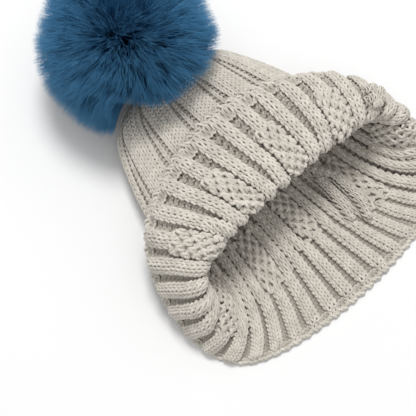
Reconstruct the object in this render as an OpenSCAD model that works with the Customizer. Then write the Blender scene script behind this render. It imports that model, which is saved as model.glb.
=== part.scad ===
// A chunky knitted beanie with a turned-up brim and a fur pom pom, lying on its back.
// Origin: on the surface it lies on, under the middle of the hat. +Y runs from the opening to
// the crown, +X to the right as seen by someone who faces the opening, and +Z up through
// the turned-up front of the brim.

/* [Knit] */
// Thickness of the ribbed knit fabric
knit_t = 5; // [4:0.5:6]
// How far the free cast-on edge band reaches in from the edge, as a share of the last ring
band_share = 0.3; // [0.2:0.1:0.5]

/* [Pom pom] */
// Radius of the fur ball at the hair tips
fur_r = 71; // [60:1:75]
// Radius of the stuffed ball that the fur grows from
core_r = 20; // [18:1:24]
// Distance from the tie point to the middle of the ball
pom_reach = 34; // [34:1:38]
// How far the pom leans from upright
pom_lean = 40; // [38:1:42]
// How far the pom points to one side of the hat's axis
pom_yaw = 10; // [0:1:15]

/* [Tie cord] */
// Radius of the cord
cord_r = 0.9; // [0.7:0.1:0.9]
// Radius of each tied loop, to the middle of the cord
loop_r = 4; // [3.8:0.1:4.4]
// Play between two linked loops
loop_play = 0.2; // [0.2:0.05:0.4]
// Radius of the button inside the crown
button_r = 9; // [7:0.5:10]

/* [Mesh] */
// Facets between two neighbouring outline points, around the hat
around_n = 5; // [3:1:6]
// Facets between two neighbouring rings, along the hat
along_n = 3; // [2:1:4]

/* [Hidden] */

knit_colour = "#cfcabe";
cord_colour = "#9b978f";
fur_colour = "#2a5a82";

$fn = 48;

// The middle of the fabric, as rings from the gathered crown to the cast-on edge. Each ring
// has one point under the hat, then a corner, a side, a shoulder and the front on top. The
// other half of a ring is its mirror image in X.
RINGS = [
    [[0, 129, 21], [5, 129, 23], [7, 129, 28], [5, 129, 33], [0, 129, 35]],
    [[0, 127, 5], [26, 127, 8], [38, 125, 19], [26, 124, 34], [0, 123, 40]],
    [[0, 112, 2.2], [43, 112, 3], [58, 112, 18], [42, 111, 38], [0, 110, 44]],
    [[0, 85, 2.2], [56, 85, 2.2], [72, 85, 20], [51, 86, 39], [0, 88, 45]],
    [[0, 50, 2.2], [66, 50, 2.2], [84, 48, 22], [59, 50, 41], [0, 52, 47]],
    [[0, 12, 2.2], [72, 12, 2.2], [92, 8, 26], [66, 14, 43], [0, 16, 49]],
    [[0, -15, 2.2], [74, -18, 3], [94, -12, 36], [72, -4, 49], [0, -2, 52]],
    [[0, -42, 2.2], [80, -46, 4], [100, -28, 45], [76, -14, 59], [0, -10, 59]],
    [[0, -64, 2.2], [88, -66, 4], [112, -34, 37], [80, 0, 63], [0, 4, 63]],
    [[0, -84, 2.2], [97, -78, 3], [119, -28, 20], [90, 22, 52], [0, 36, 58]],
    [[0, -102, 2.2], [103, -83, 2.2], [121, -21, 4], [93, 41, 37], [0, 70, 53]]
];
SIDES = 8;              // outline points in a whole ring
CROWN_END = 3;          // ring where the crown's decreases end
FOLD_START = 6;         // ring where the brim starts to turn
EDGE = len(RINGS) - 1;  // ring of the cast-on edge
BAND = EDGE - band_share;

// The yarn through the last stitches, and the button and cord inside it
gather_r = 5.2;
gather_y = 129;
gather_z = 28;
button_y = 119;
button_t = 2.5;
anchor_x = -1;
anchor_r = 1.4;

clear = 0.3;             // gap between pieces that don't touch
past = 1;                // how far a cut runs past the face it opens

// The tie point, just outside the gathered crown: the pom nods at the top of the loop round it
tie_at = [-5, 135, 31];
stem_r = 1;                        // cord stem that passes through the pom's base disc
stem_play = 0.3;
knot_r = 2.4;
link_step = loop_r - 2 * cord_r - loop_play;  // where the next loop's near side sits
middle_z = link_step + loop_r;                // middle of the middle loop
sway_z = middle_z + loop_r;                   // top of the middle loop: the pom sways here
pom_loop_z = sway_z - (loop_r - link_step) + loop_r;
loop_top = pom_loop_z + loop_r + cord_r;
disc_gap = 1;
disc_z = loop_top + disc_gap;
disc_t = 2.5;
knot_z = disc_z + disc_t + clear + knot_r;  // middle of the knot that holds the disc
disc_r = 11;
backing_t = 2;
thread_r = 0.6;
cavity_z = 7.5;           // the fur clears the crown below this height over the tie point
rim_slope = tan(pom_lean);            // the fur's rim is a cone that lies along the floor
rim_drop = tie_at[2] / cos(pom_lean);
well_r = 14;              // bare patch in the fur round the base disc
tail_r = 0.8;

// Route of the cord's loose end, from the anchor loop past the crown's shoulder
TAIL = [[-9, 134.3, 31], [-11, 134.6, 32], [-13.5, 134.6, 33], [-16, 134.3, 33.8], [-19, 133.4, 34.3],
        [-22, 132.3, 34.6], [-25, 131, 34.6], [-28, 129.8, 34.4], [-31, 128.6, 34], [-34, 127.4, 33.5],
        [-37, 126.2, 32.8], [-40, 125, 31.9], [-43, 123.9, 30.8], [-45.5, 123, 29.8], [-48, 122, 28.6]];

// One value between b and c of four evenly spaced ones, on a smooth curve through them
function curve(a, b, c, d, t) =
    0.5 * (2 * b + (c - a) * t + (2 * a - 5 * b + 4 * c - d) * t * t
           + (3 * b - a - 3 * c + d) * t * t * t);
function mirrored(p) = [-p[0], p[1], p[2]];
function outline(r) = [r[0], r[1], r[2], r[3], r[4], mirrored(r[3]), mirrored(r[2]), mirrored(r[1])];
OUTLINES = [for (r = RINGS) outline(r)];

// The point of ring k at place u round it, from 0 to SIDES
function on_ring(k, u) =
    let (i = floor(u), o = OUTLINES[k])
    curve(o[(i + SIDES - 1) % SIDES], o[(i + SIDES) % SIDES], o[(i + 1) % SIDES],
          o[(i + 2) % SIDES], u - i);
function ring_or_past(k, u) =
    k < 0 ? 2 * on_ring(0, u) - on_ring(1, u)
    : k > EDGE ? 2 * on_ring(EDGE, u) - on_ring(EDGE - 1, u)
    : on_ring(k, u);
// The middle of the fabric at place u round and v along it
function fabric(u, v) =
    let (k = min(floor(v), EDGE - 1))
    curve(ring_or_past(k - 1, u), ring_or_past(k, u), ring_or_past(k + 1, u),
          ring_or_past(k + 2, u), v - k);

function unit(a) = a / norm(a);
STEP = 0.02;  // half the distance between the points that give a slope
function across(u, v) =
    let (up = (u + STEP + SIDES) % SIDES, down = (u - STEP + SIDES) % SIDES)
    unit(cross(fabric(up, v) - fabric(down, v),
               fabric(u % SIDES, min(v + STEP, EDGE)) - fabric(u % SIDES, max(v - STEP, 0))));
function above_floor(p) = [p[0], p[1], max(p[2], 0)];
// side is 1 on the face that is inside the head tube and -1 on the face outside it
function face_point(u, v, side) =
    above_floor(fabric(u % SIDES, v) - side * knit_t / 2 * across(u % SIDES, v));

function steps(a, b, n) = [for (i = [0:n]) a + (b - a) * i / n];

// A closed piece of the fabric, between u0 and u1 round it and v0 and v1 along it
module fabric_piece(u0, u1, v0, v1) {
    whole = u1 - u0 >= SIDES;
    us = steps(u0, u1, round((u1 - u0) * around_n));
    vs = steps(v0, v1, max(1, round((v1 - v0) * along_n)));
    nu = whole ? len(us) - 1 : len(us);
    nv = len(vs);
    points = [for (side = [1, -1]) for (v = vs) for (i = [0:nu - 1]) face_point(us[i], v, side)];
    function at(side, j, i) = side * nv * nu + j * nu + i % nu;
    function quad(a, b, c, d) = [[a, b, c], [a, c, d]];
    last = whole ? nu - 1 : nu - 2;
    skins = [for (j = [0:nv - 2]) for (i = [0:last])
        each concat(quad(at(0, j, i), at(0, j + 1, i), at(0, j + 1, i + 1), at(0, j, i + 1)),
                    quad(at(1, j, i), at(1, j, i + 1), at(1, j + 1, i + 1), at(1, j + 1, i)))];
    ends = [for (i = [0:last])
        each concat(quad(at(0, 0, i + 1), at(1, 0, i + 1), at(1, 0, i), at(0, 0, i)),
                    quad(at(0, nv - 1, i + 1), at(0, nv - 1, i), at(1, nv - 1, i), at(1, nv - 1, i + 1)))];
    cuts = whole ? [] : [for (j = [0:nv - 2])
        each concat(quad(at(0, j + 1, 0), at(0, j, 0), at(1, j, 0), at(1, j + 1, 0)),
                    quad(at(0, j + 1, nu - 1), at(1, j + 1, nu - 1), at(1, j, nu - 1), at(0, j, nu - 1)))];
    polyhedron(points, concat(skins, ends, cuts));
}

// A cord along a list of points
module cord_tube(route, r, sides = 8) {
    n = len(route);
    dir = [for (i = [0:n - 1]) unit(route[min(i + 1, n - 1)] - route[max(i - 1, 0)])];
    rings = [for (i = [0:n - 1])
        let (x = unit(cross(dir[i], [0, 0, 1])), y = cross(dir[i], x))
        for (s = [0:sides - 1]) route[i] + r * (cos(360 * s / sides) * x + sin(360 * s / sides) * y)];
    walls = [for (i = [0:n - 2]) for (s = [0:sides - 1])
        let (a = i * sides + s, b = i * sides + (s + 1) % sides)
        each [[a, a + sides, b + sides], [a, b + sides, b]]];
    caps = [[for (s = [0:sides - 1]) s], [for (s = [sides - 1:-1:0]) (n - 1) * sides + s]];
    polyhedron(rings, concat(walls, caps));
}

module torus(big_r, small_r) {
    rotate_extrude() translate([big_r, 0]) circle(small_r);
}

// Puts its children in the pom's own frame: origin at the tie point, +Z to the ball's middle
module on_pom() {
    translate(tie_at) rotate([-pom_lean, 0, pom_yaw]) children();
}

module crown() {
    color(knit_colour) fabric_piece(0, SIDES, 0, CROWN_END);
}

module head_tube() {
    color(knit_colour) fabric_piece(0, SIDES, CROWN_END, FOLD_START);
}

module front_cuff() {
    color(knit_colour) fabric_piece(3, 5, FOLD_START, BAND);
}

module right_flare() {
    color(knit_colour) fabric_piece(1, 3, FOLD_START, BAND);
}

module left_flare() {
    color(knit_colour) fabric_piece(5, 7, FOLD_START, BAND);
}

module back_brim() {
    color(knit_colour) fabric_piece(7, 9, FOLD_START, BAND);
}

module edge_band_front() {
    color(knit_colour) fabric_piece(3, 5, BAND, EDGE);
}

module edge_band_right() {
    color(knit_colour) fabric_piece(1, 3, BAND, EDGE);
}

module edge_band_left() {
    color(knit_colour) fabric_piece(5, 7, BAND, EDGE);
}

module edge_band_back() {
    color(knit_colour) fabric_piece(7, 9, BAND, EDGE);
}

// The yarn that draws the last stitches of the crown together
module crown_gather_yarn() {
    color(knit_colour) translate([0, gather_y, gather_z]) rotate([90, 0, 0]) torus(gather_r, cord_r);
}

// The button that the cord is tied to inside the crown
module anchor_button() {
    color("#d8d3c6") translate([anchor_x, button_y, gather_z]) rotate([-90, 0, 0])
        difference() {
            cylinder(r = button_r, h = button_t);
            translate([0, 0, -past]) cylinder(r = anchor_r + clear, h = button_t + 2 * past);
        }
}

// The cord from its knot behind the button, out through the crown, to its loop
module anchor_cord() {
    color(cord_colour) {
        translate([anchor_x, button_y - knot_r - clear, gather_z]) sphere(knot_r);
        translate([anchor_x, button_y - knot_r, gather_z]) rotate([-90, 0, 0])
            cylinder(r = anchor_r, h = tie_at[1] - button_y - past);
        on_pom() rotate([90, 0, 0]) torus(loop_r, cord_r);
    }
}

module cord_tail() {
    color(cord_colour) cord_tube(TAIL, tail_r);
}

module middle_loop() {
    color(cord_colour) on_pom() translate([0, 0, middle_z]) rotate([0, 90, 0]) torus(loop_r, cord_r);
}

// The pom's own loop, its stem through the base disc and the knot that holds it
module pom_loop() {
    color(cord_colour) on_pom() {
        translate([0, 0, pom_loop_z]) rotate([90, 0, 0]) torus(loop_r, cord_r);
        translate([0, 0, pom_loop_z + loop_r]) cylinder(r = stem_r, h = knot_z - pom_loop_z - loop_r);
        translate([0, 0, knot_z]) sphere(knot_r);
    }
}

module pom_base_disc() {
    color("#3a3f45") on_pom() translate([0, 0, disc_z])
        difference() {
            cylinder(r = disc_r, h = disc_t);
            translate([0, 0, -past]) cylinder(r = stem_r + stem_play, h = disc_t + 2 * past);
        }
}

// The cloth ball that the fur is fixed to, drawn closed on the base disc
module pom_backing() {
    color("#16263a") on_pom()
        difference() {
            translate([0, 0, pom_reach]) sphere(core_r);
            translate([0, 0, pom_reach]) sphere(core_r - backing_t);
            cylinder(r = core_r + past, h = disc_z + disc_t);
        }
}

module pom_stuffing() {
    color("#e9e9e6") on_pom()
        difference() {
            translate([0, 0, pom_reach]) sphere(core_r - backing_t - clear);
            cylinder(r = core_r + past, h = disc_z + disc_t + clear);
            translate([0, 0, knot_z]) sphere(knot_r + 2 * clear);
            translate([0, 0, disc_z]) cylinder(r = stem_r + stem_play, h = disc_t + 2 * knot_r);
        }
}

module pom_closing_thread() {
    color("#16263a") on_pom() translate([0, 0, disc_z + disc_t / 2])
        torus(disc_r + thread_r + clear, thread_r);
}

// The whole ball of fur, hollow round the stuffed core and cut away to clear the crown. The
// cone round the cut is what it rests on.
module pom_fur() {
    far = 2 * fur_r;
    cavity_r = (cavity_z + rim_drop) / rim_slope;
    color(fur_colour) on_pom() difference() {
        translate([0, 0, pom_reach]) sphere(fur_r);
        translate([0, 0, pom_reach]) sphere(core_r + clear);
        translate([0, 0, -far]) cylinder(r = well_r, h = far + disc_z + disc_t);
        rotate_extrude() polygon([[0, -far], [far, -far], [far, far * rim_slope - rim_drop],
                                  [cavity_r, cavity_z], [0, cavity_z]]);
    }
}

crown();
head_tube();
front_cuff();
left_flare();
right_flare();
back_brim();
edge_band_front();
edge_band_left();
edge_band_right();
edge_band_back();
crown_gather_yarn();
anchor_button();
anchor_cord();
cord_tail();
middle_loop();
pom_loop();
pom_base_disc();
pom_backing();
pom_stuffing();
pom_closing_thread();
pom_fur();
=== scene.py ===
"""A chunky knitted beanie with a turned-up brim and a fur pom pom, lying on its back.

Every stitch is a loop of yarn and every hair of the pom is a strand. Lengths are in millimetres
until a mesh is made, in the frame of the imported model: +Y from the opening to the crown, +Z up.
"""
import math

import bpy
import numpy as np
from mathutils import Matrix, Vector


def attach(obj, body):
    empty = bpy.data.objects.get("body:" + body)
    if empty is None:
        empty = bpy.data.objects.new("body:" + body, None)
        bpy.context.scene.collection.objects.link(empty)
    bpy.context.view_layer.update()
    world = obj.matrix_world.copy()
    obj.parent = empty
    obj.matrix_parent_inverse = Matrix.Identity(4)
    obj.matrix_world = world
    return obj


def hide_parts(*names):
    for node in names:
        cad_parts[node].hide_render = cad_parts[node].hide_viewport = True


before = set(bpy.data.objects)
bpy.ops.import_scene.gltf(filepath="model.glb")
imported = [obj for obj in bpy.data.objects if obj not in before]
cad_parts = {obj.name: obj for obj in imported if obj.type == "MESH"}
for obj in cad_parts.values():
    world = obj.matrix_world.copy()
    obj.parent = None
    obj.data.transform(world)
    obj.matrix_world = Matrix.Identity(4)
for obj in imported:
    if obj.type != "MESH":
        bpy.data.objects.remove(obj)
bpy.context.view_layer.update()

MM = 0.001

# --- The hat's shape: the same rings as part.scad -------------------------------------------

RINGS = np.array([
    [[0, 129, 21], [5, 129, 23], [7, 129, 28], [5, 129, 33], [0, 129, 35]],
    [[0, 127, 5], [26, 127, 8], [38, 125, 19], [26, 124, 34], [0, 123, 40]],
    [[0, 112, 2.2], [43, 112, 3], [58, 112, 18], [42, 111, 38], [0, 110, 44]],
    [[0, 85, 2.2], [56, 85, 2.2], [72, 85, 20], [51, 86, 39], [0, 88, 45]],
    [[0, 50, 2.2], [66, 50, 2.2], [84, 48, 22], [59, 50, 41], [0, 52, 47]],
    [[0, 12, 2.2], [72, 12, 2.2], [92, 8, 26], [66, 14, 43], [0, 16, 49]],
    [[0, -15, 2.2], [74, -18, 3], [94, -12, 36], [72, -4, 49], [0, -2, 52]],
    [[0, -42, 2.2], [80, -46, 4], [100, -28, 45], [76, -14, 59], [0, -10, 59]],
    [[0, -64, 2.2], [88, -66, 4], [112, -34, 37], [80, 0, 63], [0, 4, 63]],
    [[0, -84, 2.2], [97, -78, 3], [119, -28, 20], [90, 22, 52], [0, 36, 58]],
    [[0, -102, 2.2], [103, -83, 2.2], [121, -21, 4], [93, 41, 37], [0, 70, 53]],
])
SIDES = 8                  # outline points in a whole ring
EDGE = len(RINGS) - 1      # ring of the cast-on edge
HEAD_START = 3             # ring where the crown's decreases end
HEAD_MIDDLE = 4.5          # where the head part's two meshes meet
FOLD_START = 6             # ring where the brim starts to turn
BAND = EDGE - 0.3          # where the cast-on edge band starts


def whole_rings():
    """The rings with their mirrored halves, and one more past each end."""
    mirrored = RINGS[:, 3:0:-1] * [-1, 1, 1]
    rings = np.concatenate([RINGS, mirrored], axis=1)
    return np.concatenate([2 * rings[:1] - rings[1:2], rings, 2 * rings[-1:] - rings[-2:-1]])


CAGE = whole_rings()


def curve_weights(t):
    """Weights of four evenly spaced values on a smooth curve through the middle two."""
    return 0.5 * np.stack([-t + 2 * t**2 - t**3, 2 - 5 * t**2 + 3 * t**3,
                           t + 4 * t**2 - 3 * t**3, t**3 - t**2], axis=-1)


def slope_weights(t):
    return 0.5 * np.stack([-1 + 4 * t - 3 * t**2, -10 * t + 9 * t**2,
                           1 + 8 * t - 9 * t**2, 3 * t**2 - 2 * t], axis=-1)


def fabric(u, v):
    """Points of the fabric's middle at u round the hat and v along it, and its normals outwards."""
    i, k = np.floor(u).astype(int), np.clip(np.floor(v).astype(int), 0, EDGE - 1)
    near = CAGE[(k[:, None] + np.arange(4))[:, :, None],
                ((i[:, None] + np.arange(-1, 3)) % SIDES)[:, None, :]]
    wu, wv = curve_weights(u - i), curve_weights(v - k)
    point = np.einsum("nabc,na,nb->nc", near, wv, wu)
    along_u = np.einsum("nabc,na,nb->nc", near, wv, slope_weights(u - i))
    along_v = np.einsum("nabc,na,nb->nc", near, slope_weights(v - k), wu)
    return point, unit(np.cross(along_u, along_v))


def unit(a):
    return a / np.maximum(np.linalg.norm(a, axis=-1, keepdims=True), 1e-9)


# --- Meshes ---------------------------------------------------------------------------------

def smooth(t):
    t = np.clip(t, 0, 1)
    return t * t * (3 - 2 * t)


def new_mesh(name, points, quads, uvs=None, layers=None):
    """A smooth mesh object from points in millimetres. uvs has one pair for each corner of each
    quad, and layers holds one number for each point under each name."""
    mesh = bpy.data.meshes.new(name)
    mesh.vertices.add(len(points))
    mesh.vertices.foreach_set("co", (points * MM).astype(np.float32).ravel())
    mesh.loops.add(quads.size)
    mesh.loops.foreach_set("vertex_index", quads.astype(np.int32).ravel())
    mesh.polygons.add(len(quads))
    mesh.polygons.foreach_set("loop_start", np.arange(0, quads.size, 4, dtype=np.int32))
    mesh.polygons.foreach_set("use_smooth", np.ones(len(quads), bool))
    if uvs is not None:
        mesh.uv_layers.new(name="OFBake").data.foreach_set("uv", uvs.astype(np.float32).ravel())
    for key, values in (layers or {}).items():
        mesh.attributes.new(key, "FLOAT", "POINT").data.foreach_set(
            "value", values.astype(np.float32))
    mesh.update(calc_edges=True)
    mesh.validate()
    obj = bpy.data.objects.new(name, mesh)
    bpy.context.scene.collection.objects.link(obj)
    return obj


def finish_piece(obj, body, material, slot, *nodes):
    """Gives a new piece its body and its material, and hides the CAD nodes that it stands for."""
    obj.data.materials.append(material)
    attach(obj, body)
    if nodes:
        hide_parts(*nodes)
    return obj


# Each yarn quad's place in the texture: one stitch of yarn fills a small square of it, because
# the ply pattern is the same on every stitch.
UV_SIZE = 0.12


def tube(points, normals, radius, sides, closed, flat=1.0):
    """Skin of a tube along points: its own points, quads and corner uvs."""
    n = len(points)
    if closed:
        ahead, behind = np.roll(points, -1, axis=0), np.roll(points, 1, axis=0)
    else:
        ahead = np.concatenate([points[1:], points[-1:]])
        behind = np.concatenate([points[:1], points[:-1]])
    tangent = unit(ahead - behind)
    across = unit(np.cross(tangent, normals))
    lift = np.cross(across, tangent)
    turn = 2 * np.pi * np.arange(sides) / sides
    radius = np.broadcast_to(radius, n)
    skin = (points[:, None] + radius[:, None, None] * (
        np.cos(turn)[None, :, None] * across[:, None]
        + flat * np.sin(turn)[None, :, None] * lift[:, None])).reshape(-1, 3)
    i = np.arange(n if closed else n - 1)
    j = (i + 1) % n
    s = np.arange(sides)
    s_next = (s + 1) % sides
    quads = np.stack([i[:, None] * sides + s, j[:, None] * sides + s,
                      j[:, None] * sides + s_next, i[:, None] * sides + s_next], axis=-1)
    return skin, quads.reshape(-1, 4)


def yarn_uvs(step, side, per_stitch, sides):
    """Corner uvs of quads that are step along a stitch and side round the yarn."""
    a, b = step % per_stitch / per_stitch, (step % per_stitch + 1) / per_stitch
    c, d = side / sides, (side + 1) / sides
    return UV_SIZE * np.stack([np.stack([a, c], -1), np.stack([b, c], -1),
                               np.stack([b, d], -1), np.stack([a, d], -1)], axis=1)


# --- The knit: rows of loops ----------------------------------------------------------------

RIBS = 36                 # ribs round the hat on each of its faces
FRONT_STRETCH = 0.09      # how much wider the ribs are in front than at the back
ROW = 4.1                 # height of a row of stitches
FIRST_ROW = 2.0           # distance of the first row from the middle of the crown
WALE = 4.3                # width of a relaxed column of stitches
YARN = 1.16               # radius of the yarn
TIGHT_WALE = 0.85         # share of a wale under which the yarn is squeezed thinner,
THINNEST = 0.72           # down to this share of its radius
LOOP_HEIGHT = 0.78        # how far a loop reaches from its row's middle, in rows
LOOP_SWAY = 0.26          # how far its legs lean, in wales
LOOP_DEPTH = 0.85         # how far its legs stand before its head
STRAY_ACROSS = 0.010      # how unevenly loops stand beside each other, in ribs,
STRAY_HEIGHT = 0.10       # over the fabric,
STRAY_LIFT = 0.035        # and in their own height, as a share of it
STEPS = 10                # points along one stitch
YARN_SIDES = 6
FLOOR_GAP = 0.15          # how far the yarn stays over the surface the hat lies on

INSIDE, OUTSIDE = -1, 1   # the two faces of the fabric
RIB_FACES = np.array([INSIDE] * 3 + [OUTSIDE] * 3)     # of a period's six columns
RIB_PLACES = np.array([0.25] * 3 + [0.75] * 3)         # middles of the two ribs of a period
RIB_COLUMNS = np.array([-1, 0, 1, -1, 0, 1])           # place of each column in its rib
RIB_HEIGHTS = np.array([2.5, 3.9, 2.5, 1.5, 2.4, 1.5]) # of each column over the fabric's middle
RIB_SHARE = 0.36                                       # a column's share of the period without
RIB_GAP = 3.2                                          # this gap
FLAT_PLACES = (np.arange(6) + 0.5) / 6                 # of the columns at the edge, evenly spread
FLAT_FROM, FLAT_TO = 9.45, 9.85                        # rings where the ribs flatten to the edge

PATTERN_CHANGE = 5.1      # ring where the crown's broad panels turn into ribs
PANELS = 12               # broad panels round the crown
PANEL_WALES = np.arange(-2, 3)                         # its knit columns, from its middle one
PANEL_HEIGHTS = np.array([0.3, 1.2, 1.5, 1.2, 0.3, -1.9, -0.6, -1.9])  # those, then the furrow's
PANEL_FACES = np.array([OUTSIDE] * 5 + [INSIDE, OUTSIDE, INSIDE])
FURROW = 1.2              # width of each purl column that is folded into a furrow
LEAST_WALE = 0.42         # share of a wale under which a column is decreased away

# Blocks of moss stitch on the inside face: the rib each sits on, and its shift in ribs
MOSS_RIBS = {0: -0.1, 5: -0.35, 9: 0, 14: 0, 17: 0, 20: 0, 23: 0, 28: 0, 32: 0}
MOSS_BACK, MOSS_FRONT = 6.15, 8.07     # ring of a block's middle at the back and in front
MOSS_ROWS = 3.6                        # rows from a block's middle to its end
MOSS_WALE = 4.1                        # width of a block's columns,
MOSS_SHARE = 0.33                      # and their largest share of the rib's period
MOSS_HEIGHT = 3.9                      # height of the block's middle column,
MOSS_ROUND = 0.25                      # and how much the others fall away from it
MOSS_CLEAR = 0.6                       # room between a block and the ribs beside it
MOSS_RELIEF = 2.4                      # how much bolder its loops are
MOSS_WOBBLE = 0.5                      # how far its columns stray from straight
MOSS_YARN = 1.2                        # how much thicker its yarn looks, being slack


class Ring:
    """Places round the hat at one distance v along it, measured in ribs."""

    def __init__(self, v):
        self.u = np.linspace(0, SIDES, 321)
        points, _ = fabric(self.u, np.full(self.u.shape, float(v)))
        steps = np.linalg.norm(np.diff(points, axis=0), axis=1)
        self.share = np.concatenate([[0], np.cumsum(steps)]) / steps.sum()
        wave = np.sin(2 * np.pi * self.share)
        self.rib = RIBS * (self.share + FRONT_STRETCH / (2 * np.pi) * wave)
        self.length = steps.sum()

    def u_at(self, rib):
        return np.interp(rib % RIBS, self.rib, self.u)

    def pitch(self, rib):
        """Width of one rib's period at a place round the ring."""
        share = np.interp(rib % RIBS, self.rib, self.share)
        return self.length / RIBS / (1 + FRONT_STRETCH * np.cos(2 * np.pi * share))


def distances():
    """Mean distance along the fabric from the middle of the crown, at evenly spaced v."""
    v = np.linspace(0, EDGE, 401)
    u = np.linspace(0, SIDES, 33)[:-1]
    grid = np.stack([fabric(u, np.full(u.shape, x))[0] for x in v])
    steps = np.linalg.norm(np.diff(grid, axis=0), axis=2).mean(axis=1)
    return v, np.concatenate([[0], np.cumsum(steps)])


V_TABLE, DISTANCE_TABLE = distances()


def distance(v):
    return np.interp(v, V_TABLE, DISTANCE_TABLE)


def v_at(far):
    return np.interp(far, DISTANCE_TABLE, V_TABLE)


def rib_wales(ring, v, row):
    """Columns of a row of the rib, as arrays with a line for each period: three columns on the
    inside of the hat, then three on the outside. Towards the edge they spread out flat."""
    middle = np.arange(RIBS)[:, None] + RIB_PLACES
    pitch = ring.pitch(middle)
    width = np.minimum(RIB_SHARE * (pitch - RIB_GAP), WALE)
    flat = smooth((v - FLAT_FROM) / (FLAT_TO - FLAT_FROM))
    even = np.arange(RIBS)[:, None] + FLAT_PLACES
    rib = middle + RIB_COLUMNS * width / pitch
    rib = rib + flat * (even - rib)
    width = width + flat * (np.minimum(pitch / 6, WALE) - width)
    height = RIB_FACES * RIB_HEIGHTS * (1 - flat) + 0 * pitch
    knit = RIB_FACES + 0 * pitch
    for n, shift in MOSS_RIBS.items():
        add_moss(n, shift, v, row, pitch, rib, height, knit, width)
    return rib.ravel(), height.ravel(), knit.ravel(), width.ravel()


def add_moss(n, shift, v, row, pitch, rib, height, knit, width):
    """Turns the inside rib n, and the outside columns beside it, into five raised columns of
    knit and purl by turns, over the rows of one block."""
    forward = (1 - math.cos(2 * math.pi * n / RIBS)) / 2
    middle_v = MOSS_BACK + (MOSS_FRONT - MOSS_BACK) * forward
    rows_off = abs(distance(v) - distance(middle_v)) / ROW
    share = smooth(MOSS_ROWS + 1 - rows_off)
    if share == 0:
        return
    period = pitch[n, 1]
    wale = min(MOSS_WALE, MOSS_SHARE * period)
    columns = [((n - 1) % RIBS, 5), (n, 0), (n, 1), (n, 2), (n, 3)]
    for j, (k, c) in zip(range(-2, 3), columns):
        place = n + 0.25 + shift + j * wale / period
        place += RIBS * round((rib[k, c] - place) / RIBS)
        place += MOSS_WOBBLE * math.sin(3.7 * row + 2.3 * j + n) / period
        rib[k, c] += share * (place - rib[k, c])
        wobble = MOSS_WOBBLE * math.sin(5.1 * row + 1.9 * j)
        raised = INSIDE * (MOSS_HEIGHT - MOSS_ROUND * j * j + wobble)
        height[k, c] += share * (raised - height[k, c])
        width[k, c] += share * (wale - width[k, c])
        if share > 0.5:
            knit[k, c] = MOSS_RELIEF * (-1) ** (j + row)
    crowd = 2.5 * wale + 1.5 * width[(n + 1) % RIBS, 1] + MOSS_CLEAR - period
    push = share * max(crowd, 0) / period
    rib[(n - 1) % RIBS, :3] -= max(push - shift, 0)
    rib[(n + 1) % RIBS, :3] += max(push + shift, 0)


def panel_wales(ring):
    """Columns of a row of the crown: five in each broad panel, then a furrow of two purl columns
    with a narrow strip between them. Where the crown narrows, columns are decreased away."""
    middle = np.arange(PANELS) * RIBS / PANELS
    panel = ring.pitch(middle) * RIBS / PANELS
    room = (panel - 2 * FURROW) / WALE
    share = np.clip((room[:, None] - (2 * abs(PANEL_WALES) - 1)) / 2, 0, 1)
    share[:, 2] = np.clip(room, 0.5, 1)
    knit_width = share * WALE
    spare = panel - 2 * FURROW - knit_width.sum(axis=1)
    strip = np.clip(spare, 0, WALE)
    purl = FURROW + np.maximum(spare - strip, 0) / 2
    width = np.column_stack([knit_width, purl, strip, purl])
    left = -knit_width.sum(axis=1, keepdims=True) / 2
    across = left + np.cumsum(width, axis=1) - width / 2
    rib = middle[:, None] + across / (panel[:, None] * PANELS / RIBS)
    kept = width > LEAST_WALE * WALE
    kept[:, 5] = True
    kept[:, 7] = panel > 3 * WALE
    same = 0 * width
    return rib[kept], (PANEL_HEIGHTS + same)[kept], (PANEL_FACES + same)[kept], width[kept]


def loops(rib, height, knit, width, following, pitch, lift):
    """The yarn's way through a row of columns, STEPS points from the head of each loop to the
    head of the following one: place in ribs, height over the fabric and way up the row."""
    t = 2 * np.pi * np.arange(STEPS) / STEPS
    way = t / (2 * np.pi)
    after = {"rib": following, "height": np.roll(height, -1), "knit": np.roll(knit, -1)}
    sway = LOOP_SWAY * np.minimum(width, np.roll(width, -1)) / pitch
    x = rib[:, None] + (after["rib"] - rib)[:, None] * way + sway[:, None] * np.sin(2 * t)
    face = knit[:, None] + (after["knit"] - knit)[:, None] * smooth((way - 0.3) / 0.4)
    z = height[:, None] + (after["height"] - height)[:, None] * smooth(way)
    z = z - LOOP_DEPTH * face * np.cos(2 * t)
    y = LOOP_HEIGHT * lift[:, None] * np.cos(t)
    return x.ravel(), z.ravel(), y.ravel()


def row_of_loops(v, dv, row, rng):
    """Path of the yarn through one row: points, normals, height, u and radius at each point."""
    ring = Ring(v)
    wales = panel_wales(ring) if v < PATTERN_CHANGE else rib_wales(ring, v, row)
    rib, height, knit, width = wales
    rib = rib + rng.normal(0, STRAY_ACROSS, len(rib))
    height = height + rng.normal(0, STRAY_HEIGHT, len(rib))
    following = np.roll(rib, -1)
    following[-1] += RIBS
    pitch = ring.pitch(rib)
    lift = 1 + rng.normal(0, STRAY_LIFT, len(rib))
    x, z, y = loops(rib, height, knit, width, following, pitch, lift)
    u = ring.u_at(x)
    point, normal = fabric(u, v - dv * y)
    path = point + normal * z[:, None]
    slack = np.where(abs(knit) > 1, MOSS_YARN, 1)
    radius = YARN * np.clip(width / (TIGHT_WALE * WALE), THINNEST, 1) * slack
    way = np.arange(STEPS) / STEPS
    radius = radius[:, None] + (np.roll(radius, -1) - radius)[:, None] * way
    return lie_on_floor(path), normal, z, u, radius.ravel()


def lie_on_floor(path, radius=YARN, ease=0.5):
    """Flattens what would sink into the surface that the hat lies on."""
    lowest = radius + FLOOR_GAP
    path = path.copy()
    over = (path[:, 2] - lowest) / ease
    path[:, 2] = lowest + ease * np.logaddexp(0, over)
    return path


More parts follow.
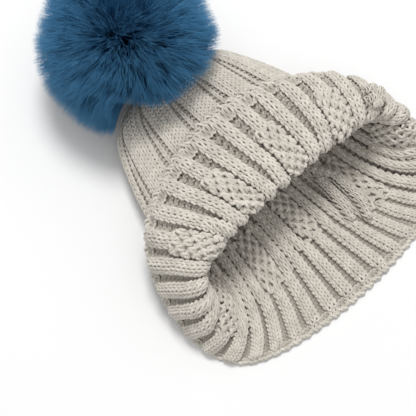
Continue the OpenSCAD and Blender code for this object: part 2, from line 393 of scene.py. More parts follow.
# Quarters of the brim by their range of u, with the CAD nodes of each
QUARTERS = {"front": (3, 5), "right": (1, 3), "left": (5, 7), "back": (7, 9)}
BRIM_NODES = {"front": "front_cuff", "right": "right_flare", "left": "left_flare",
              "back": "back_brim"}


def pieces_of_row(v, u):
    """The pieces that the steps of a row at v belong to, each with the steps that are its own."""
    if v < HEAD_START:
        return {"crown": np.ones(len(u), bool)}
    if v < FOLD_START:
        return {"head_upper" if v < HEAD_MIDDLE else "head_lower": np.ones(len(u), bool)}
    return by_quarter("brim_" if v < BAND else "edge_", u)


def by_quarter(prefix, u):
    """Which of the steps at u lie in each quarter, under the names of the quarters' pieces."""
    return {prefix + name: (u - start) % SIDES < stop - start
            for name, (start, stop) in QUARTERS.items()}


def node_of(piece):
    """The CAD node that a piece of knit stands for."""
    kind, _, place = piece.partition("_")
    return {"crown": "crown", "head": "head_tube", "brim": BRIM_NODES.get(place),
            "edge": "edge_band_" + place}[kind]


class Skins:
    """Collects yarn by piece, then makes one object of each piece."""

    def __init__(self, rng):
        self.rng = rng
        self.parts = {}

    def add(self, shares, path, normal, height, radius, closed=True, flat=0.9):
        skin, quads = tube(path, normal, radius, YARN_SIDES, closed, flat)
        # Painted shade: each skin point's height out of the fabric on the side it faces. The knit
        # material paints the yarn that lies deep darker.
        exposure_for_painted_shade = np.sin(2 * np.pi * np.arange(YARN_SIDES) / YARN_SIDES) * height[:, None]
        count = len(path) if closed else len(path) - 1
        step = np.repeat(np.arange(count), YARN_SIDES)
        side = np.tile(np.arange(YARN_SIDES), count)
        uvs = yarn_uvs(step, side, STEPS, YARN_SIDES)
        stitches = -(-len(path) // STEPS)
        tint = np.repeat(self.rng.uniform(0, 1, stitches), STEPS * YARN_SIDES)[:len(skin)]
        for name, mine in shares.items():
            keep = np.repeat(mine[:count], YARN_SIDES)
            self.parts.setdefault(name, []).append(
                (skin, quads[keep], uvs[keep], tint, exposure_for_painted_shade.ravel()))

    def build(self, material):
        for name, rows in self.parts.items():
            slot = "edge_knit" if name.startswith("edge") else "knit"
            finish_piece(joined("knit_" + name, rows), "hat", material, slot, node_of(name))


def knit():
    """All rows of the hat, cut into pieces at the CAD nodes' borders, the raised cable inside
    it, and its cast-on edge."""
    rng = np.random.default_rng(11)
    skins = Skins(rng)
    far = np.arange(FIRST_ROW, DISTANCE_TABLE[-1] - ROW / 2, ROW)
    rows = v_at(far)
    for i, (v, dv) in enumerate(zip(rows, np.gradient(rows))):
        path, normal, height, u, radius = row_of_loops(v, dv, i, rng)
        skins.add(pieces_of_row(v, u), path, normal, height, radius)
    for strand in CABLES:
        add_strand(skins, strand, rng)
    add_cast_on(skins)
    skins.build(knit_material())


# --- Cables: raised strands of fine columns over the ribs ------------------------------------

CABLE_COLUMNS = 3          # columns of a strand, and one more on each side that closes it
CABLE_WALE = 2.7           # width of its columns
CABLE_ROW = 0.85 * ROW     # height of its rows
CABLE_YARN = 0.76          # radius of its yarn, which is drawn tight
CABLE_FOOT = 0.7           # height of a strand's sides, inside the ribs under it
CABLE_RISE = 8.5           # how much higher its middle stands
CABLE_RELIEF = 1.7         # how much bolder its loops are than the rib's
CABLE_SHADE_OFFSET = 5.6            # height under which a strand's sides get painted shade
CROSSING, CROSSING_SIZE = 0.4, 0.35    # where along a strand the crossing is, and how long
# Each strand: the piece it is part of, its first and last v, its middle in ribs at four places
# in between, and how much higher it stands where it crosses over the other one
CABLES = [
    ("brim_back", (5.3, 7.95), (3.3, 4.3, 4.0, 2.95), 3.0),
    ("brim_back", (5.2, 7.75), (4.6, 3.42, 3.12, 2.25), 0.0),
    ("brim_right", (7.3, 8.5), (12.0, 12.5, 12.0, 12.5), 1.2),
    ("brim_right", (7.3, 8.5), (12.5, 12.0, 12.5, 12.0), 0.0),
]


def add_strand(skins, strand, rng):
    """One strand of a cable, as short rows of loops over the ribs."""
    piece, (start, stop), middles, over = strand
    first, last = distance(start), distance(stop)
    count = int((last - first) / CABLE_ROW)
    j = np.arange(-CABLE_COLUMNS / 2 - 0.5, CABLE_COLUMNS / 2 + 1)
    for i in range(count + 1):
        way = i / count
        v = float(v_at(first + i * CABLE_ROW))
        dv = float(v_at(first + (i + 1) * CABLE_ROW) - v)
        ring = Ring(v)
        middle = float(np.interp(way, [0, 0.35, 0.65, 1], middles))
        taper = math.sqrt(max(1 - abs(2 * way - 1) ** 6, 0.05))
        crossing = over * math.exp(-((way - CROSSING) / CROSSING_SIZE) ** 2)
        pitch = ring.pitch(np.full(len(j), middle))
        rib = middle + j * CABLE_WALE * taper / pitch
        arch = np.sqrt(np.maximum(1 - (j / (CABLE_COLUMNS / 2 + 0.6)) ** 2, 0))
        height = INSIDE * (CABLE_FOOT + (CABLE_RISE * arch + crossing) * taper)
        height = height + rng.normal(0, STRAY_HEIGHT, len(j))
        knit = np.full(len(j), CABLE_RELIEF * INSIDE)
        following = np.append(rib[1:], 2 * rib[-1] - rib[-2])
        x, z, y = loops(rib, height, knit, np.full(len(j), CABLE_WALE), following, pitch,
                        np.ones(len(j)))
        inner = slice(0, -STEPS + 1)
        u = ring.u_at(x)
        point, normal = fabric(u, v - dv * y)
        path = (point + normal * z[:, None])[inner]
        # The strand's heights, raised by this offset, set how much painted shade its sides get.
        skins.add({piece: np.ones(len(path), bool)}, lie_on_floor(path), normal[inner],
                  z[inner] + CABLE_SHADE_OFFSET, CABLE_YARN, closed=False)


# --- The cast-on edge ------------------------------------------------------------------------

EDGE_STRANDS = 2
EDGE_YARN = 1.25
EDGE_TWISTS = RIBS * 5     # half turns of the two strands round each other
EDGE_STEPS = 6             # points along each half turn
EDGE_MIDDLE = EDGE - 0.09  # ring of the strands' middle
EDGE_SWING = 0.055         # how far a strand swings to each side of it, in rings,
EDGE_THROW = 1.15          # and to each face of the fabric
SCALLOP = 0.05             # how far the edge comes out at each rib, in rings


def add_cast_on(skins):
    """Two strands twisted round each other along the last loops, with a scalloped outline."""
    ring = Ring(EDGE_MIDDLE + 0.03)
    n = EDGE_TWISTS * EDGE_STEPS
    rib = RIBS * np.arange(n) / n
    turn = 2 * np.pi * EDGE_TWISTS / 2 * rib / RIBS
    scallop = SCALLOP * np.cos(2 * np.pi * (rib - RIB_PLACES[0]) * 2)
    for k in range(EDGE_STRANDS):
        phase = turn + 2 * np.pi * k / EDGE_STRANDS
        u = ring.u_at(rib)
        v = EDGE_MIDDLE + scallop + EDGE_SWING * np.cos(phase)
        point, normal = fabric(u, v)
        path = lie_on_floor(point + normal * (EDGE_THROW * np.sin(phase))[:, None], EDGE_YARN)
        # np.sin(phase) sets how much painted shade each point of the strands gets.
        skins.add(by_quarter("edge_", u), path, normal, np.sin(phase), EDGE_YARN)


def joined(name, rows):
    """One mesh from several skins, without the points that none of its quads use."""
    offsets = np.cumsum([0] + [len(r[0]) for r in rows[:-1]])
    points = np.concatenate([r[0] for r in rows])
    quads = np.concatenate([r[1] + o for r, o in zip(rows, offsets)])
    uvs = np.concatenate([r[2] for r in rows])
    tint = np.concatenate([r[3] for r in rows])
    # each point's height for the painted shade in the furrows
    exposure_for_painted_shade = np.concatenate([r[4] for r in rows])
    used, where = np.unique(quads, return_inverse=True)
    layers = {"tint": tint[used], "exposure_for_painted_shade": exposure_for_painted_shade[used]}
    return new_mesh(name, points[used], where.reshape(quads.shape), uvs, layers)


# --- Materials ------------------------------------------------------------------------------

KNIT_DARK = (0.46, 0.428, 0.372)
KNIT_LIGHT = (0.665, 0.627, 0.56)
KNIT_PAINTED_SHADE = (0.25, 0.222, 0.186)       # painted shade: the colour given to yarn deep in the furrows, where little light gets


class Surface:
    """A material, with short ways to add nodes to it."""

    def __init__(self, name, **inputs):
        self.material = bpy.data.materials.new(name)
        self.material.use_nodes = True
        self.nodes = self.material.node_tree.nodes
        self.link = self.material.node_tree.links.new
        self.shader = self.nodes["Principled BSDF"]
        self.set_inputs(self.shader, inputs)

    def set_inputs(self, node, inputs):
        """Sets a node's inputs by name, with _ for each space."""
        for name, value in inputs.items():
            node.inputs[name.replace("_", " ")].default_value = value

    def node(self, kind, **inputs):
        """A new node with some of its inputs set."""
        node = self.nodes.new("ShaderNode" + kind)
        self.set_inputs(node, inputs)
        return node

    def layer(self, name):
        """The numbers of one of the mesh's layers."""
        node = self.node("Attribute")
        node.attribute_name = name
        return node.outputs["Fac"]

    def noise(self, place, **inputs):
        """Noise by place, from 0 to 1."""
        node = self.node("TexNoise", **inputs)
        self.link(place, node.inputs["Vector"])
        return node.outputs["Fac"]

    def on_object(self):
        return self.node("TexCoord").outputs["Object"]

    def weighted(self, value, weight, more=None):
        """A value times its weight, and more added to it."""
        node = self.node("Math")
        node.operation = "MULTIPLY_ADD"
        node.inputs[1].default_value = weight
        node.inputs[2].default_value = 0
        self.link(value, node.inputs[0])
        if more is not None:
            self.link(more, node.inputs[2])
        return node.outputs["Value"]

    def colours(self, factor, *stops):
        """Colours between stops, each a place and a colour, by a factor."""
        ramp = self.node("ValToRGB")
        elements = ramp.color_ramp.elements
        for _ in stops[2:]:
            elements.new(0.5)
        for i, (place, colour) in enumerate(stops):
            elements[i].position = place
            elements[i].color = (*colour, 1)
        self.link(factor, ramp.inputs["Fac"])
        return ramp.outputs["Color"]

    def paint(self, colour):
        self.link(colour, self.shader.inputs["Base Color"])

    def relief(self, height, strength, depth):
        """Fine bumps on the surface. depth is in metres."""
        bump = self.node("Bump", Strength=strength, Distance=depth)
        self.link(height, bump.inputs["Height"])
        self.link(bump.outputs["Normal"], self.shader.inputs["Normal"])


def knit_material():
    """Matt two-ply yarn: the plies run aslant along each stitch, under a haze of fibres. Yarn deep
    in the furrows is painted darker, as painted shade.
    """
    yarn = Surface("soft_grey_yarn", Roughness=0.9, Sheen_Weight=0.2, Sheen_Roughness=0.6,
                   Specular_IOR_Level=0.15)
    uv = yarn.node("UVMap")
    uv.uv_map = "OFBake"
    scaled = yarn.node("Mapping", Scale=(1 / UV_SIZE, 1 / UV_SIZE, 1))
    yarn.link(uv.outputs["UV"], scaled.inputs["Vector"])
    place = scaled.outputs["Vector"]
    ply = yarn.node("TexWave", Scale=1.0, Distortion=1.5)
    ply.bands_direction = "DIAGONAL"
    yarn.link(place, ply.inputs["Vector"])
    fibre = yarn.noise(place, Scale=14, Detail=5)
    tone = yarn.weighted(fibre, 0.35, yarn.weighted(yarn.layer("tint"), 0.6))
    # Painted shade: the less a point of yarn stands out of the fabric, the more of the painted shade
    # colour it takes.
    depth = yarn.node("MapRange", From_Min=-2.6, From_Max=0.2, To_Min=1, To_Max=0)
    yarn.link(yarn.layer("exposure_for_painted_shade"), depth.inputs["Value"])
    painted_shade = yarn.node("Mix")
    painted_shade.data_type = "RGBA"
    painted_shade.inputs["B"].default_value = (*KNIT_PAINTED_SHADE, 1)
    yarn.link(depth.outputs["Result"], painted_shade.inputs["Factor"])
    yarn.link(yarn.colours(tone, (0, KNIT_DARK), (1, KNIT_LIGHT)), painted_shade.inputs["A"])
    yarn.paint(painted_shade.outputs["Result"])
    yarn.relief(yarn.weighted(ply.outputs["Fac"], 1, fibre), 0.45, 0.0003)
    return yarn.material


# --- The pom pom ----------------------------------------------------------------------------

TIE = np.array([-5, 135, 31.0])
POM_LEAN, POM_YAW = math.radians(40), math.radians(10)
POM_AXIS = np.array([-math.sin(POM_YAW) * math.sin(POM_LEAN),
                     math.cos(POM_YAW) * math.sin(POM_LEAN), math.cos(POM_LEAN)])
POM_SIDE = np.array([math.cos(POM_YAW), math.sin(POM_YAW), 0])
POM_FRONT = np.cross(POM_AXIS, POM_SIDE)
POM_REACH = 34
POM_CENTRE = TIE + POM_REACH * POM_AXIS
NOD_REACH, SWAY_REACH = 4, 10            # where the pom nods and sways, from the tie point
NODS = np.radians([-10, 0, 3])           # nods and sways at which the hairs are kept off the
SWAYS = np.radians([-4, 0, 4])           # hat; far past both at once, their tips brush it

CORE_R = 20.3              # where the hairs start
FUR_R = 71                 # radius of the ball, where most hairs end
WELL_R = 14                # bare patch round the base disc
HAIRS = 48000
HAIR_STEPS = 7
HAIR_RADIUS = 0.21
TUFTS = 1700
TUFT_LEAN = 0.12           # how far the tufts lean away from straight out, at random
TUFT_REACH = (0.97, 1.04)  # shortest and longest tufts, as shares of the pile's depth
HAIR_REACH = (0.93, 1)     # shortest and longest hairs, as shares of their tuft
UNDERFUR = 0.35            # share of the hairs that are underfur,
UNDERFUR_REACH = (0.55, 0.9)             # and how long that is
GATHERED = (0.2, 0.75)     # how far the tips are drawn together into their tufts
SWIRL = 0.045              # how far the pile drifts aside, slowly from place to place
STRAY_HAIR = 0.04          # how far each hair bends its own way,
STRAY_TIP = 0.05           # and how far its tip stays from its tuft's
DROOP = np.array([0, 0, -0.05])          # how far the tips hang down
FUR_PIECES = 10
BRUSHED_BACK = 0.16        # how far the tips over the crown are turned up from it
PARTING = math.radians(217)              # where round the axis the cord parts the hairs,
PARTING_WIDTH = math.radians(15)         # and how far to each side of it
PARTED_BACK = 0.34                       # how far the hairs are turned back there,
PARTED_FROM, PARTED_OVER = 28, 20        # from this distance out, and over this much of it
COMBED_LOOSELY = 0.10      # how much further some hairs turn from the hat than they need to
COMB_EASE = 0.03           # how gently hairs bend away from it, in radians
TRIMMED = 0.35             # most that is cut from the hairs round the base disc, as a share
FUR_FLOOR = 0.4            # how far the hairs stay over the surface that the hat lies on
# Sides on which the ball is brushed out longer, and by which share
FULLER_SIDES = np.array([[0.14, -0.76, -0.21], [-0.94, -0.12, -0.33]])
FULLER_BY = 0.07
HAT_CLEARANCE = 3.6        # from the middle of the fabric to the hairs pushed back by it
SHIELD_ROWS, SHIELD_COLUMNS = 15, 36     # distances and directions at which the hat is felt for
FIRST_FELT, FELT_STEP = 20, 4


def turned(points, axis, angle, about):
    """points turned by angle round an axis through about."""
    arm = points - about
    return (about + arm * math.cos(angle) + np.cross(axis, arm) * math.sin(angle)
            + np.outer(arm @ axis, axis) * (1 - math.cos(angle)))


def in_pom_angles(points):
    """Distance from the ball's middle, angle from its axis and direction round the axis."""
    arm = points - POM_CENTRE
    far = np.linalg.norm(arm, axis=-1)
    angle = np.arccos(np.clip(arm @ POM_AXIS / np.maximum(far, 1e-6), -1, 1))
    return far, angle, np.arctan2(arm @ POM_FRONT, arm @ POM_SIDE)


def things_in_the_way():
    """Points of the floor, and of the hat as seen from the ball where it nods, sways or spins."""
    u, v = np.meshgrid(np.linspace(0, SIDES, 97)[:-1], np.linspace(0, FOLD_START, 60))
    point, normal = fabric(u.ravel(), v.ravel())
    hat = point + HAT_CLEARANCE * normal
    x, y = np.meshgrid(np.linspace(-FUR_R, FUR_R, 80), np.linspace(-FUR_R, FUR_R, 80))
    floor = np.column_stack([x.ravel() + POM_CENTRE[0], y.ravel() + POM_CENTRE[1], 0 * x.ravel()])
    seen = [floor]
    for nod in NODS:
        for sway in SWAYS:
            moved = turned(hat, POM_SIDE, -nod, TIE + NOD_REACH * POM_AXIS)
            moved = turned(moved, POM_FRONT, -sway, TIE + SWAY_REACH * POM_AXIS)
            seen += [moved, turned(moved, POM_AXIS, math.pi, POM_CENTRE)]
    return np.concatenate(seen)


def feel_for_hat():
    """Table of the largest angle from the ball's axis that a hair may have, by its distance
    from the ball's middle and its direction round the axis."""
    far, angle, round_ = in_pom_angles(things_in_the_way())
    column = np.floor((round_ / (2 * np.pi) % 1) * SHIELD_COLUMNS).astype(int) % SHIELD_COLUMNS
    table = np.full((SHIELD_ROWS, SHIELD_COLUMNS), np.pi)
    for i in range(SHIELD_ROWS):
        near = abs(far - (FIRST_FELT + FELT_STEP * i)) < FELT_STEP
        np.minimum.at(table[i], column[near], angle[near])
    least = np.min([np.roll(table, k, axis=1) for k in (-1, 0, 1)], axis=0)
    return np.mean([np.roll(least, k, axis=1) for k in (-1, 0, 1)], axis=0)


def largest_angle(table, far, round_):
    """The table's value between its rows and columns."""
    row = np.clip((far - FIRST_FELT) / FELT_STEP, 0, SHIELD_ROWS - 1.001)
    column = (round_ / (2 * np.pi) % 1) * SHIELD_COLUMNS - 0.5
    i, j = np.floor(row).astype(int), np.floor(column).astype(int)
    a, b = row - i, column - j
    j0, j1 = j % SHIELD_COLUMNS, (j + 1) % SHIELD_COLUMNS
    return ((1 - a) * ((1 - b) * table[i, j0] + b * table[i, j1])
            + a * ((1 - b) * table[i + 1, j0] + b * table[i + 1, j1]))


def random_directions(rng, n):
    return unit(rng.normal(size=(n, 3)))


def kept_under(x, most, ease):
    """x, held smoothly below most."""
    return most - ease * np.logaddexp(0, (most - x) / ease)


def swirl(start):
    """A slow drift of the pile, different from place to place on the ball."""
    waves = np.sin(3.3 * start[:, [1, 2, 0]] + 1.7) + 0.7 * np.sin(7.1 * start[:, [2, 0, 1]])
    return SWIRL * waves


def hair_paths(rng):
    """Points along each hair, how far out each is from 0 at the core to 1 at the tips, and the
    tuft that each hair belongs to."""
    start = random_directions(rng, int(HAIRS * 1.3))
    start = start[start @ POM_AXIS > -math.sqrt(1 - (WELL_R / CORE_R) ** 2)][:HAIRS]
    tufts = random_directions(rng, TUFTS)
    mine = np.argmax(start @ tufts.T, axis=1)
    way = np.linspace(0, 1, HAIR_STEPS)
    reach = rng.uniform(*TUFT_REACH, TUFTS)[mine] * rng.uniform(*HAIR_REACH, len(start))
    reach = reach * (1 + FULLER_BY * np.maximum(start @ FULLER_SIDES.T, 0).sum(axis=1))
    under = rng.uniform(size=len(start)) < UNDERFUR
    reach = np.where(under, reach * rng.uniform(*UNDERFUR_REACH, len(start)), reach)
    near_disc = np.clip((-(start @ POM_AXIS) - 0.45) / 0.4, 0, 1)
    reach = reach * (1 - TRIMMED * near_disc * rng.uniform(0, 1, len(start)))
    out = CORE_R + (FUR_R - CORE_R) * reach[:, None] * way
    gather = (rng.uniform(*GATHERED, len(start))[:, None] * way**1.3)[..., None]
    goal = tufts[mine] + STRAY_TIP * rng.normal(size=start.shape)
    direction = start[:, None] * (1 - gather) + goal[:, None] * gather
    lean = (TUFT_LEAN * rng.normal(size=(TUFTS, 3)))[mine]
    bend = swirl(start) + STRAY_HAIR * rng.normal(size=start.shape) + DROOP
    direction = unit(direction + bend[:, None] * (way**2)[None, :, None]
                     + lean[:, None] * (1 - CORE_R / out)[..., None])
    return comb(direction, out, rng), (out - CORE_R) / (FUR_R - CORE_R), mine


def comb(direction, out, rng):
    """The hairs' points, turned away from the hat, the cord and the floor."""
    _, angle, round_ = in_pom_angles(POM_CENTRE + direction)
    over_hat = smooth((-0.15 - np.sin(round_)) / 0.5) * out / FUR_R
    parting = np.exp(-(((round_ % (2 * np.pi)) - PARTING) / PARTING_WIDTH) ** 2)
    most = largest_angle(feel_for_hat(), out, round_) - BRUSHED_BACK * over_hat
    most = most - PARTED_BACK * parting * smooth((out - PARTED_FROM) / PARTED_OVER)
    most = most - COMBED_LOOSELY * rng.uniform(0, 1, (len(out), 1))
    angle = kept_under(angle, most, COMB_EASE)
    across = np.cos(round_)[..., None] * POM_SIDE + np.sin(round_)[..., None] * POM_FRONT
    turned_away = np.cos(angle)[..., None] * POM_AXIS + np.sin(angle)[..., None] * across
    points = POM_CENTRE + out[..., None] * turned_away
    points[..., 2] = np.maximum(points[..., 2], FUR_FLOOR)
    return points


def hair_mesh(name, paths, outward, tint):
    """Three-sided tapered strands."""
    n, steps, _ = paths.shape
    tangent = unit(np.gradient(paths, axis=1))
    side = unit(np.cross(tangent, np.array([0.31, 0.17, 0.93])))
    lift = np.cross(tangent, side)
    way = np.linspace(0, 1, steps)
    radius = HAIR_RADIUS * np.interp(way, [0, 0.25, 0.6, 0.85, 1], [0.8, 1, 0.8, 0.5, 0.1])
    turn = 2 * np.pi * np.arange(3) / 3
    skin = paths[:, :, None] + radius[None, :, None, None] * (
        np.cos(turn)[None, None, :, None] * side[:, :, None]
        + np.sin(turn)[None, None, :, None] * lift[:, :, None])
    hair = np.arange(n)[:, None, None] * steps * 3
    k = np.arange(steps - 1)[None, :, None] * 3
    s = np.arange(3)[None, None, :]
    s_next = (s + 1) % 3
    quads = np.stack(np.broadcast_arrays(hair + k + s, hair + k + 3 + s, hair + k + 3 + s_next,
                                         hair + k + s_next), axis=-1).reshape(-1, 4)
    outward = np.repeat(outward[:, :, None], 3, axis=2).ravel()
    tint = np.repeat(tint, steps * 3)
    uvs = 0.25 * np.stack([tint[quads], outward[quads]], axis=-1)
    return new_mesh(name, skin.reshape(-1, 3), quads, uvs, {"outward": outward, "tint": tint})


FUR_ROOT = (0.005, 0.031, 0.100)
FUR_MIDDLE = (0.014, 0.112, 0.285)
FUR_TIP = (0.088, 0.272, 0.465)
TUFT_TINT = 0.55           # share of a hair's tint that it has from its tuft


def fur_material():
    """Dyed hair, dark at the roots and paler at the tips, each hair a little different."""
    hair = Surface("blue_fur", Roughness=0.5, Specular_IOR_Level=0.15)
    place = hair.weighted(hair.layer("tint"), 0.5, hair.layer("outward"))
    hair.paint(hair.colours(place, (0.28, FUR_ROOT), (0.78, FUR_MIDDLE), (1, FUR_TIP)))
    return hair.material


def fur():
    """All hairs of the pom, in pieces of like size."""
    rng = np.random.default_rng(5)
    paths, outward, tuft = hair_paths(rng)
    tint = (TUFT_TINT * rng.uniform(0, 1, TUFTS)[tuft]
            + (1 - TUFT_TINT) * rng.uniform(0, 1, len(paths)))
    material = fur_material()
    for i, rows in enumerate(np.array_split(np.arange(len(paths)), FUR_PIECES)):
        obj = hair_mesh(f"fur_{i + 1}", paths[rows], outward[rows], tint[rows])
        finish_piece(obj, "pom", material, "fur", "pom_fur")


# --- The ball inside the fur -----------------------------------------------------------------

BACKING_R = 20
CLOTH = 1.4                # thickness of the backing's cloth
STUFFING_R = 17.1
DISC_TOP = 20.4            # top of the base disc over the tie point
GATHERS = 18               # pleats of the backing round the disc
PLEAT_OUT, PLEAT_IN = 0.3, 0.6           # how far they go out and in
KNOT_ROOM = 5.5            # depth of the stuffing's hollow for the knot,
KNOT_WIDTH = 4             # and its width
LUMPS = 0.25               # height of the stuffing's lumps
RING_STEPS = 72


def on_pom(r, z, turn):
    """Points at a distance r from the pom's axis and z along it from the tie point."""
    across = np.cos(turn)[..., None] * POM_SIDE + np.sin(turn)[..., None] * POM_FRONT
    return TIE + z[..., None] * POM_AXIS + r[..., None] * across


def lathe(name, r, z):
    """A closed mesh from rings: r and z have a line for each ring and a column for each place
    round it. The last ring joins the first."""
    rings, sides = r.shape
    turn = np.broadcast_to(2 * np.pi * np.arange(sides) / sides, r.shape)
    i, j = np.meshgrid(np.arange(rings), np.arange(sides), indexing="ij")
    i2, j2 = (i + 1) % rings, (j + 1) % sides
    quads = np.stack([i * sides + j, i2 * sides + j, i2 * sides + j2, i * sides + j2], axis=-1)
    return new_mesh(name, on_pom(r, z, turn).reshape(-1, 3), quads.reshape(-1, 4))


def backing(material):
    """The cloth ball, open where its edge is gathered round the base disc."""
    last = math.acos((DISC_TOP - POM_REACH) / BACKING_R)
    angle = np.linspace(0.02, last, 40)
    turn = 2 * np.pi * np.arange(RING_STEPS) / RING_STEPS
    pleat = PLEAT_IN * smooth((angle - 1.4) / 0.9)[:, None] * np.cos(GATHERS * turn)
    outer = BACKING_R - PLEAT_OUT + np.minimum(pleat, PLEAT_OUT)
    inner = outer - CLOTH
    radius = np.concatenate([outer, inner[::-1]])
    angle = np.concatenate([angle, angle[::-1]])[:, None] + 0 * radius
    obj = lathe("backing_cloth", radius * np.sin(angle), POM_REACH + radius * np.cos(angle))
    finish_piece(obj, "pom", material, "backing", "pom_backing")


def stuffing():
    """A lumpy ball of fibre, flat on the disc and hollow over the knot."""
    angle = np.linspace(0.02, math.pi - 0.02, 48)[:, None]
    turn = 2 * np.pi * np.arange(RING_STEPS) / RING_STEPS
    lumps = LUMPS * (np.sin(5 * angle + 2 * np.cos(3 * turn)) + np.sin(7 * turn + 4 * angle))
    radius = STUFFING_R + lumps * np.sin(angle)
    r = radius * np.sin(angle)
    floor = DISC_TOP + 0.4 + KNOT_ROOM * np.exp(-((r / KNOT_WIDTH) ** 2))
    z = floor + 0.4 * np.logaddexp(0, (POM_REACH + radius * np.cos(angle) - floor) / 0.4)
    obj = lathe("stuffing_ball", r, z)
    finish_piece(obj, "pom", stuffing_material(), "stuffing", "pom_stuffing")


# --- Cords and the sewing yarn ---------------------------------------------------------------

TAIL = np.array([[-9, 134.3, 31], [-11, 134.6, 32], [-13.5, 134.6, 33], [-16, 134.3, 33.8],
                 [-19, 133.4, 34.3], [-22, 132.3, 34.6], [-25, 131, 34.6], [-28, 129.8, 34.4],
                 [-31, 128.6, 34], [-34, 127.4, 33.5], [-37, 126.2, 32.8], [-40, 125, 31.9],
                 [-43, 123.9, 30.8], [-45.5, 123, 29.8], [-48, 122, 28.6]])
TAIL_R, TAIL_PITCH = 0.8, 4.5
GATHER_R, GATHER_YARN, GATHER_TWISTS = 5.2, 0.9, 8
GATHER_CENTRE = np.array([0, 129, 28.0])
PLY_SIDES = 6


def plied(name, route, normals, radius, plies, pitch, closed):
    """A cord of plies twisted round each other along a route, one turn in each pitch."""
    steps = np.linalg.norm(np.diff(route, axis=0), axis=1)
    along = np.concatenate([[0], np.cumsum(steps)])
    ahead, behind = np.roll(route, -1, axis=0), np.roll(route, 1, axis=0)
    tangent = ahead - behind
    if not closed:
        tangent[0], tangent[-1] = route[1] - route[0], route[-1] - route[-2]
    across = unit(np.cross(unit(tangent), normals))
    lift = np.cross(across, unit(tangent))
    ply_r = radius * 0.56
    skins, quads = [], []
    for k in range(plies):
        turn = 2 * np.pi * (along / pitch + k / plies)
        offset = (radius - ply_r) * (np.cos(turn)[:, None] * across + np.sin(turn)[:, None] * lift)
        skin, faces = tube(route + offset, normals, ply_r, PLY_SIDES, closed)
        quads.append(faces + len(skin) * k)
        skins.append(skin)
    return new_mesh(name, np.concatenate(skins), np.concatenate(quads))


def smooth_route(points, per_span=6):
    """The same route with more points, on a smooth curve through the given ones."""
    ends = np.concatenate([2 * points[:1] - points[1:2], points, 2 * points[-1:] - points[-2:-1]])
    t = np.arange(per_span) / per_span
    spans = [curve_weights(t) @ ends[i:i + 4] for i in range(len(points) - 1)]
    return np.concatenate(spans + [points[-1:]])


def cord_tail(material):
    """The loose end of the cord that holds the pom."""
    route = smooth_route(TAIL)
    normals = np.tile([0.0, 0.4, 0.9], (len(route), 1))
    obj = plied("cord_tail_plies", route, normals, TAIL_R, 3, TAIL_PITCH, closed=False)
    finish_piece(obj, "hat", material, "cord", "cord_tail")


def gather_yarn():
    """The yarn that draws the last stitches together."""
    turn = 2 * np.pi * np.arange(96) / 96
    ring = np.column_stack([np.cos(turn), 0 * turn, np.sin(turn)])
    pitch = 2 * math.pi * GATHER_R / GATHER_TWISTS
    obj = plied("gather_yarn_plies", GATHER_CENTRE + GATHER_R * ring, ring, GATHER_YARN, 2, pitch,
                closed=True)
    finish_piece(obj, "hat", plain_cloth("sewing_yarn", KNIT_DARK, KNIT_LIGHT, 900),
                 "sewing_yarn", "crown_gather_yarn")


def plain_cloth(name, dark, light, scale, roughness=0.9):
    """Matt fibre: two near colours in a fine noise, with the same noise as relief."""
    cloth = Surface(name, Roughness=roughness, Sheen_Weight=0.15)
    fibre = cloth.noise(cloth.on_object(), Scale=scale, Detail=4)
    cloth.paint(cloth.colours(fibre, (0.3, dark), (0.7, light)))
    cloth.relief(fibre, 0.5, 0.0002)
    return cloth.material


def plastic(name, dark, light, roughness):
    """Moulded resin: faint clouds of colour, and a fine grain that catches the light."""
    resin = Surface(name)
    place = resin.on_object()
    cloud = resin.noise(place, Scale=120, Distortion=1.5)
    resin.paint(resin.colours(cloud, (0.35, dark), (0.65, light)))
    grain = resin.noise(place, Scale=1800)
    rough = resin.node("MapRange", To_Min=roughness - 0.1, To_Max=roughness + 0.1)
    resin.link(grain, rough.inputs["Value"])
    resin.link(rough.outputs["Result"], resin.shader.inputs["Roughness"])
    resin.relief(grain, 0.15, 0.00005)
    return resin.material


def cord_material():
    return plain_cloth("waxed_cord", (0.26, 0.25, 0.24), (0.50, 0.49, 0.46), 1400, 0.5)


def backing_material():
    return plain_cloth("fur_backing", (0.008, 0.018, 0.035), (0.02, 0.04, 0.07), 700)


def stuffing_material():
    return plain_cloth("stuffing_fibre", (0.72, 0.72, 0.70), (0.84, 0.84, 0.83), 400)


def hard_parts(cord, thread):
    """The button, the base disc and the tied cords stay as they are in CAD."""
    surfaces = {
        "anchor_button": plastic("button_resin", (0.58, 0.54, 0.46), (0.70, 0.67, 0.60), 0.35),
        "pom_base_disc": plastic("disc_plastic", (0.032, 0.037, 0.042), (0.05, 0.056, 0.062), 0.6),
        "pom_closing_thread": thread,
        "anchor_cord": cord,
        "middle_loop": cord,
        "pom_loop": cord,
    }
    for node, material in surfaces.items():
        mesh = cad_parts[node].data
        mesh.materials.clear()
        mesh.materials.append(material)


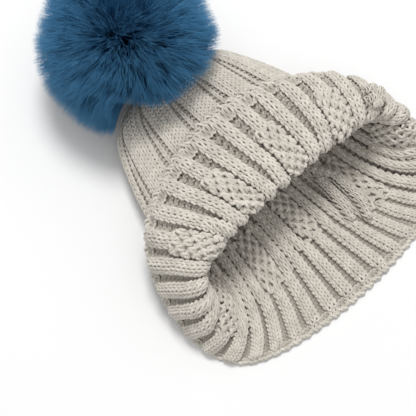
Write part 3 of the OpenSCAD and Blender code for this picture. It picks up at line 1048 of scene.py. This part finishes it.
# --- Camera, light and floor ----------------------------------------------------------------

def camera():
    """A view from the front left, high over the open end."""
    target = Vector((-0.041, 0.030, 0))
    azimuth, elevation = math.radians(-43), math.radians(66)
    back = Vector((math.sin(azimuth) * math.cos(elevation), -math.cos(azimuth) * math.cos(elevation),
                   math.sin(elevation)))
    data = bpy.data.cameras.new("camera")
    data.sensor_width = 36
    data.lens = 88.3
    obj = bpy.data.objects.new("camera", data)
    obj.location = target + 0.8 * back
    obj.rotation_euler = (-back).to_track_quat("-Z", "Y").to_euler()
    bpy.context.scene.collection.objects.link(obj)
    bpy.context.scene.camera = obj


def area_light(name, place, size, power, aim=(0, 0, 0.03)):
    data = bpy.data.lights.new(name, "AREA")
    data.shape = "DISK"
    data.size = size
    data.energy = power
    obj = bpy.data.objects.new(name, data)
    obj.location = place
    obj.rotation_euler = (Vector(aim) - Vector(place)).to_track_quat("-Z", "Y").to_euler()
    bpy.context.scene.collection.objects.link(obj)


def studio():
    """Soft light all round, a broad key light behind the hat, and a plain pale floor."""
    world = bpy.data.worlds.new("studio")
    world.use_nodes = True
    world.node_tree.nodes["Background"].inputs["Color"].default_value = (1, 1, 1, 1)
    world.node_tree.nodes["Background"].inputs["Strength"].default_value = 0.67
    bpy.context.scene.world = world
    bpy.context.scene.view_settings.view_transform = "Standard"
    area_light("key", (0.2, 0.35, 1.45), 0.5, 15)
    area_light("fill", (-0.5, -0.9, 1.3), 1.2, 2)
    mesh = bpy.data.meshes.new("floor")
    mesh.from_pydata([(-3, -3, 0), (3, -3, 0), (3, 3, 0), (-3, 3, 0)], [], [(0, 1, 2, 3)])
    floor = bpy.data.objects.new("floor", mesh)
    bpy.context.scene.collection.objects.link(floor)
    paper = Surface("white_floor", Base_Color=(0.77, 0.77, 0.77, 1), Roughness=0.9)
    mesh.materials.append(paper.material)


camera()
studio()
cord_surface = cord_material()
backing_surface = backing_material()
knit()
gather_yarn()
cord_tail(cord_surface)
hard_parts(cord_surface, backing_surface)
backing(backing_surface)
stuffing()
fur()
